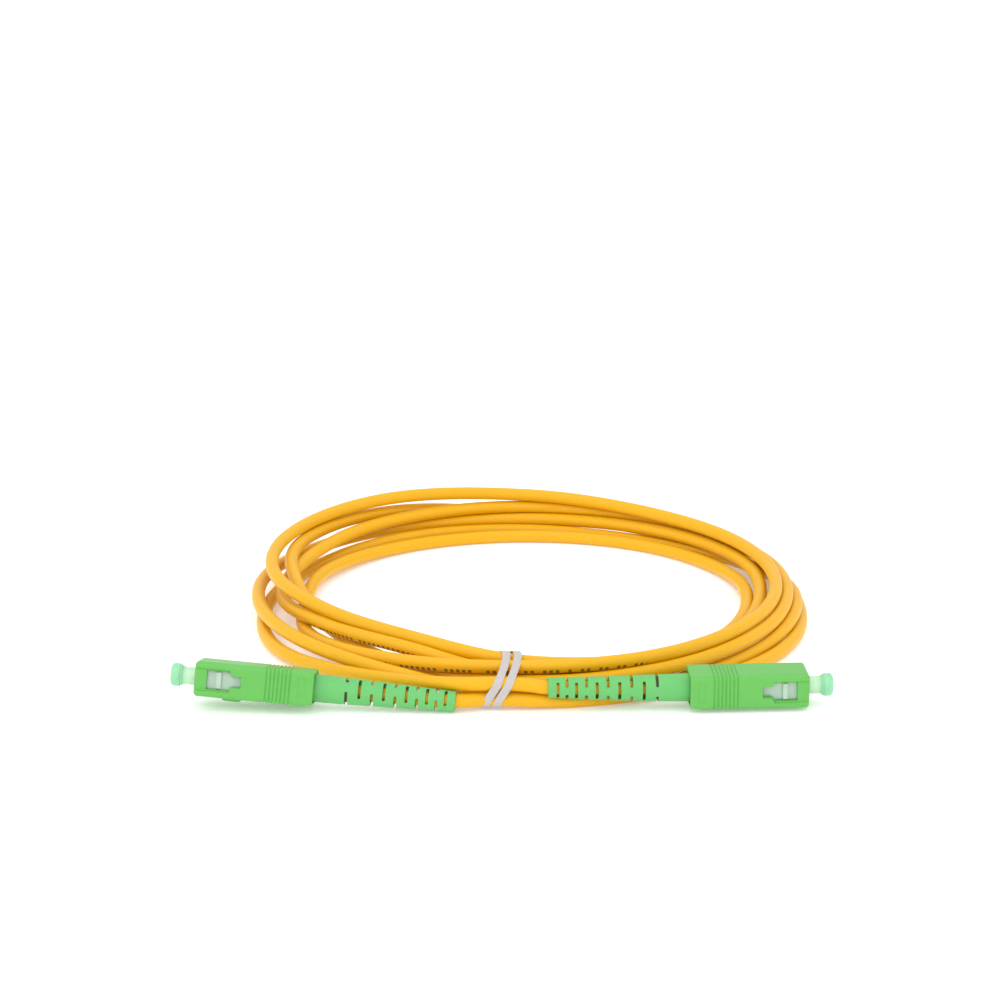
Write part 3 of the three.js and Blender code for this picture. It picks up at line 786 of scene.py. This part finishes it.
def window_cutter(material):
    """The latch window right through both sides: a stepped outline, flared outside the walls."""
    wide, narrow, edge = 1.95, 1.05, 0.22
    corners = [(15.3, -narrow), (17.15, -narrow), (17.75, -wide), (22.4, -wide),
               (22.4, wide), (17.75, wide), (17.15, narrow), (15.3, narrow)]
    corners = np.array(corners)
    middle = np.array([19.0, 0.0])
    reach = np.array([-6.0, -4.62, -4.4, -4.2, -3.9, 3.9, 4.2, 4.4, 4.62, 6.0])
    flare = edge * ramp(np.abs(reach), 3.9, 4.6)
    outward = np.sign(corners - middle)
    rows = []
    for level, grow in zip(reach, flare):
        outline = corners + outward * grow
        rows.append(np.column_stack([outline[:, 0], np.full(len(outline), level), outline[:, 1]]))
    return new_piece("window", np.concatenate(rows), capped(len(rows), len(corners)), material,
                     "housing_green", None)


def keying_rib():
    """Rounded slab below the nose: |x/2|^5 + |y/2|^5 + |z/0.85|^5 = 1 about its centre."""
    lat = np.radians(np.linspace(-90, 90, 26))[:, None]
    lon = 2 * np.pi * np.arange(48)[None, :] / 48

    def power(value):
        return np.sign(value) * np.abs(value) ** 0.4

    x = 17.3 + 2.0 * power(np.cos(lat)) * power(np.cos(lon))
    y = 2.0 * power(np.cos(lat)) * power(np.sin(lon))
    z = -HOUSING_HEIGHT / 2 + 0.1 + 0.85 * power(np.sin(lat)) + 0 * lon
    vertices = np.stack([x, y, z], -1).reshape(-1, 3)
    return vertices, grid_faces(26, 48).tolist()


green = housing_green()
for side in PLUGS:
    housing_shell(side, green)


# ---------------------------------------------------------------- dust caps
# Soft milky mint polyethylene tubes, one over each ferrule. Each is moulded in one piece with its
# solid round head, and only its grip on the ferrule holds it.

CAP_BORE = 1.42
CAP_NECK = 1.88
CAP_HEAD = 2.43


def cap_plastic():
    """Milky polyethylene: the thin neck is paler and the solid head a deeper mint."""
    material, tree, shader = principled(
        "cap_polyethylene", (0.33, 0.87, 0.5), 0.3, Subsurface_Weight=0.4, Subsurface_Scale=0.002)
    along = nodes_of(tree, "ShaderNodeAttribute", attribute_name="along").outputs["Fac"]
    head = nodes_of(tree, "ShaderNodeMapRange", interpolation_type="SMOOTHSTEP")
    head.inputs["From Min"].default_value = 26.6
    head.inputs["From Max"].default_value = 28.4
    tree.links.new(along, head.inputs["Value"])
    colour = mixed(tree, head.outputs[0], (0.52, 0.74, 0.52), (0.26, 0.62, 0.36))
    place = tree.nodes.new("ShaderNodeTexCoord").outputs["Object"]
    grained(tree, shader, place, colour, 0.3, cloud=0.1, clouds=500.0, grain=3000.0, depth=0.006)
    return material


def cap_shell(side, material):
    """Closed profile turned about the plug's axis: neck outside, round head, blind bore back out."""
    profile = np.concatenate([
        [(18.6, CAP_BORE), (18.6, CAP_NECK), (23, CAP_NECK), (27.4, CAP_NECK)],
        rounded_corner(27.7, CAP_NECK + 0.3, 0.3, -90, 80, 5),
        rounded_corner(28.75, CAP_HEAD - 0.55, 0.55, 150, -60, 6),
        rounded_corner(29.7, CAP_HEAD - 0.7, 0.7, 90, -75, 8),
        [(30.4, 0.9), (30.4, 0.3), (30.4, 0.004)],
        [(27.2, 0.004), (27.2, 0.9), (27.2, CAP_BORE), (23, CAP_BORE)],
    ])
    sides = 64
    cap = new_piece(f"cap_shell_{side}", turned(profile, sides),
                    grid_faces(len(profile), sides, closed_rows=True).tolist(), material, "cap_mint", None)
    place_in_plug(side, cap, f"cap_{side}")
    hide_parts(f"dust_cap_{side}")


mint = cap_plastic()
for side in PLUGS:
    cap_shell(side, mint)


# ---------------------------------------------------------------- pieces inside the plugs
# Plug frame, ferrule and its flange, spring, fibre, buffer, rear body, yarn and crimp sleeve: these
# keep the shapes of the design and get their finishes here.


def plain_plastic(name, colour, gloss, **inputs):
    material, tree, shader = principled(name, colour, gloss, **inputs)
    place = tree.nodes.new("ShaderNodeTexCoord").outputs["Object"]
    grained(tree, shader, place, colour, gloss)
    return material


def turned_metal(name, colour, gloss):
    """Bare or plated metal with a fine grain and slight tarnish."""
    material, tree, shader = principled(name, colour, gloss, Metallic=1.0)
    place = tree.nodes.new("ShaderNodeTexCoord").outputs["Object"]
    grained(tree, shader, place, colour, gloss, cloud=0.2, clouds=700.0, grain=9000.0, depth=0.004)
    return material


finishes = {
    "plug_frame": plain_plastic("frame_plastic", (0.42, 0.55, 0.45), 0.42, Subsurface_Weight=0.3,
                                Subsurface_Scale=0.002),
    "ferrule": plain_plastic("zirconia", (0.9, 0.9, 0.86), 0.12, Coat_Weight=0.3),
    "ferrule_flange": turned_metal("flange_metal", (0.72, 0.7, 0.66), 0.3),
    "ferrule_spring": turned_metal("spring_wire", (0.55, 0.56, 0.58), 0.28),
    "optical_fibre": plain_plastic("fibre_glass", (0.85, 0.93, 0.96), 0.05, Transmission_Weight=0.8),
    "buffered_fibre": plain_plastic("buffer_coating", (0.88, 0.88, 0.85), 0.45),
    "stop_body": turned_metal("rear_body_metal", (0.66, 0.64, 0.6), 0.34),
    "aramid_yarn": plain_plastic("aramid", (0.78, 0.58, 0.12), 0.75, Sheen_Weight=0.4),
    "crimp_sleeve": turned_metal("crimp_metal", (0.09, 0.09, 0.07), 0.5),
}
for side in PLUGS:
    for name, finish in finishes.items():
        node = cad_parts[f"{name}_{side}"]
        node.data.materials.clear()
        node.data.materials.append(finish)


# ---------------------------------------------------------------- table and lights
# A plain white table top that glows faintly, under a pale dome and four very soft lamps: one from
# above, one from either side and one from the front.

floor_mesh = bpy.data.meshes.new("floor")
floor_mesh.from_pydata([(-3, -3, 0), (3, -3, 0), (3, 3, 0), (-3, 3, 0)], [], [(0, 1, 2, 3)])
floor = bpy.data.objects.new("floor", floor_mesh)
bpy.context.scene.collection.objects.link(floor)
floor_material, _, _ = principled(
    "table_top", (0.9, 0.9, 0.9), 0.7, Emission_Color=(1, 1, 1, 1), Emission_Strength=0.22)
floor_mesh.materials.append(floor_material)

bpy.context.scene.view_settings.view_transform = "Standard"
world = bpy.data.worlds.new("studio")
bpy.context.scene.world = world
world.use_nodes = True
background = world.node_tree.nodes["Background"]
height = nodes_of(world.node_tree, "ShaderNodeSeparateXYZ")
sky_place = nodes_of(world.node_tree, "ShaderNodeTexCoord")
world.node_tree.links.new(sky_place.outputs["Generated"], height.inputs[0])
dome = nodes_of(world.node_tree, "ShaderNodeMapRange")
dome.inputs["From Min"].default_value = -0.1
dome.inputs["To Min"].default_value = 0.7
dome.inputs["To Max"].default_value = 1.25
world.node_tree.links.new(height.outputs[2], dome.inputs["Value"])
world.node_tree.links.new(dome.outputs[0], background.inputs["Strength"])
background.inputs["Color"].default_value = (1, 1, 1, 1)


def soft_sun(name, direction, spread, power):
    """A very wide sun that shines along direction."""
    lamp = bpy.data.lights.new(name, "SUN")
    lamp.angle = math.radians(spread)
    lamp.energy = power
    holder = bpy.data.objects.new(name, lamp)
    holder.rotation_euler = Vector(direction).to_track_quat("-Z", "Y").to_euler()
    bpy.context.scene.collection.objects.link(holder)


soft_sun("key", (0.35, 0.45, -1.0), 60, 0.55)
soft_sun("left", (1.0, 0.3, -0.35), 50, 0.4)
soft_sun("right", (-1.0, 0.3, -0.35), 50, 0.4)
soft_sun("front", (0.0, 1.0, -0.45), 60, 0.35)
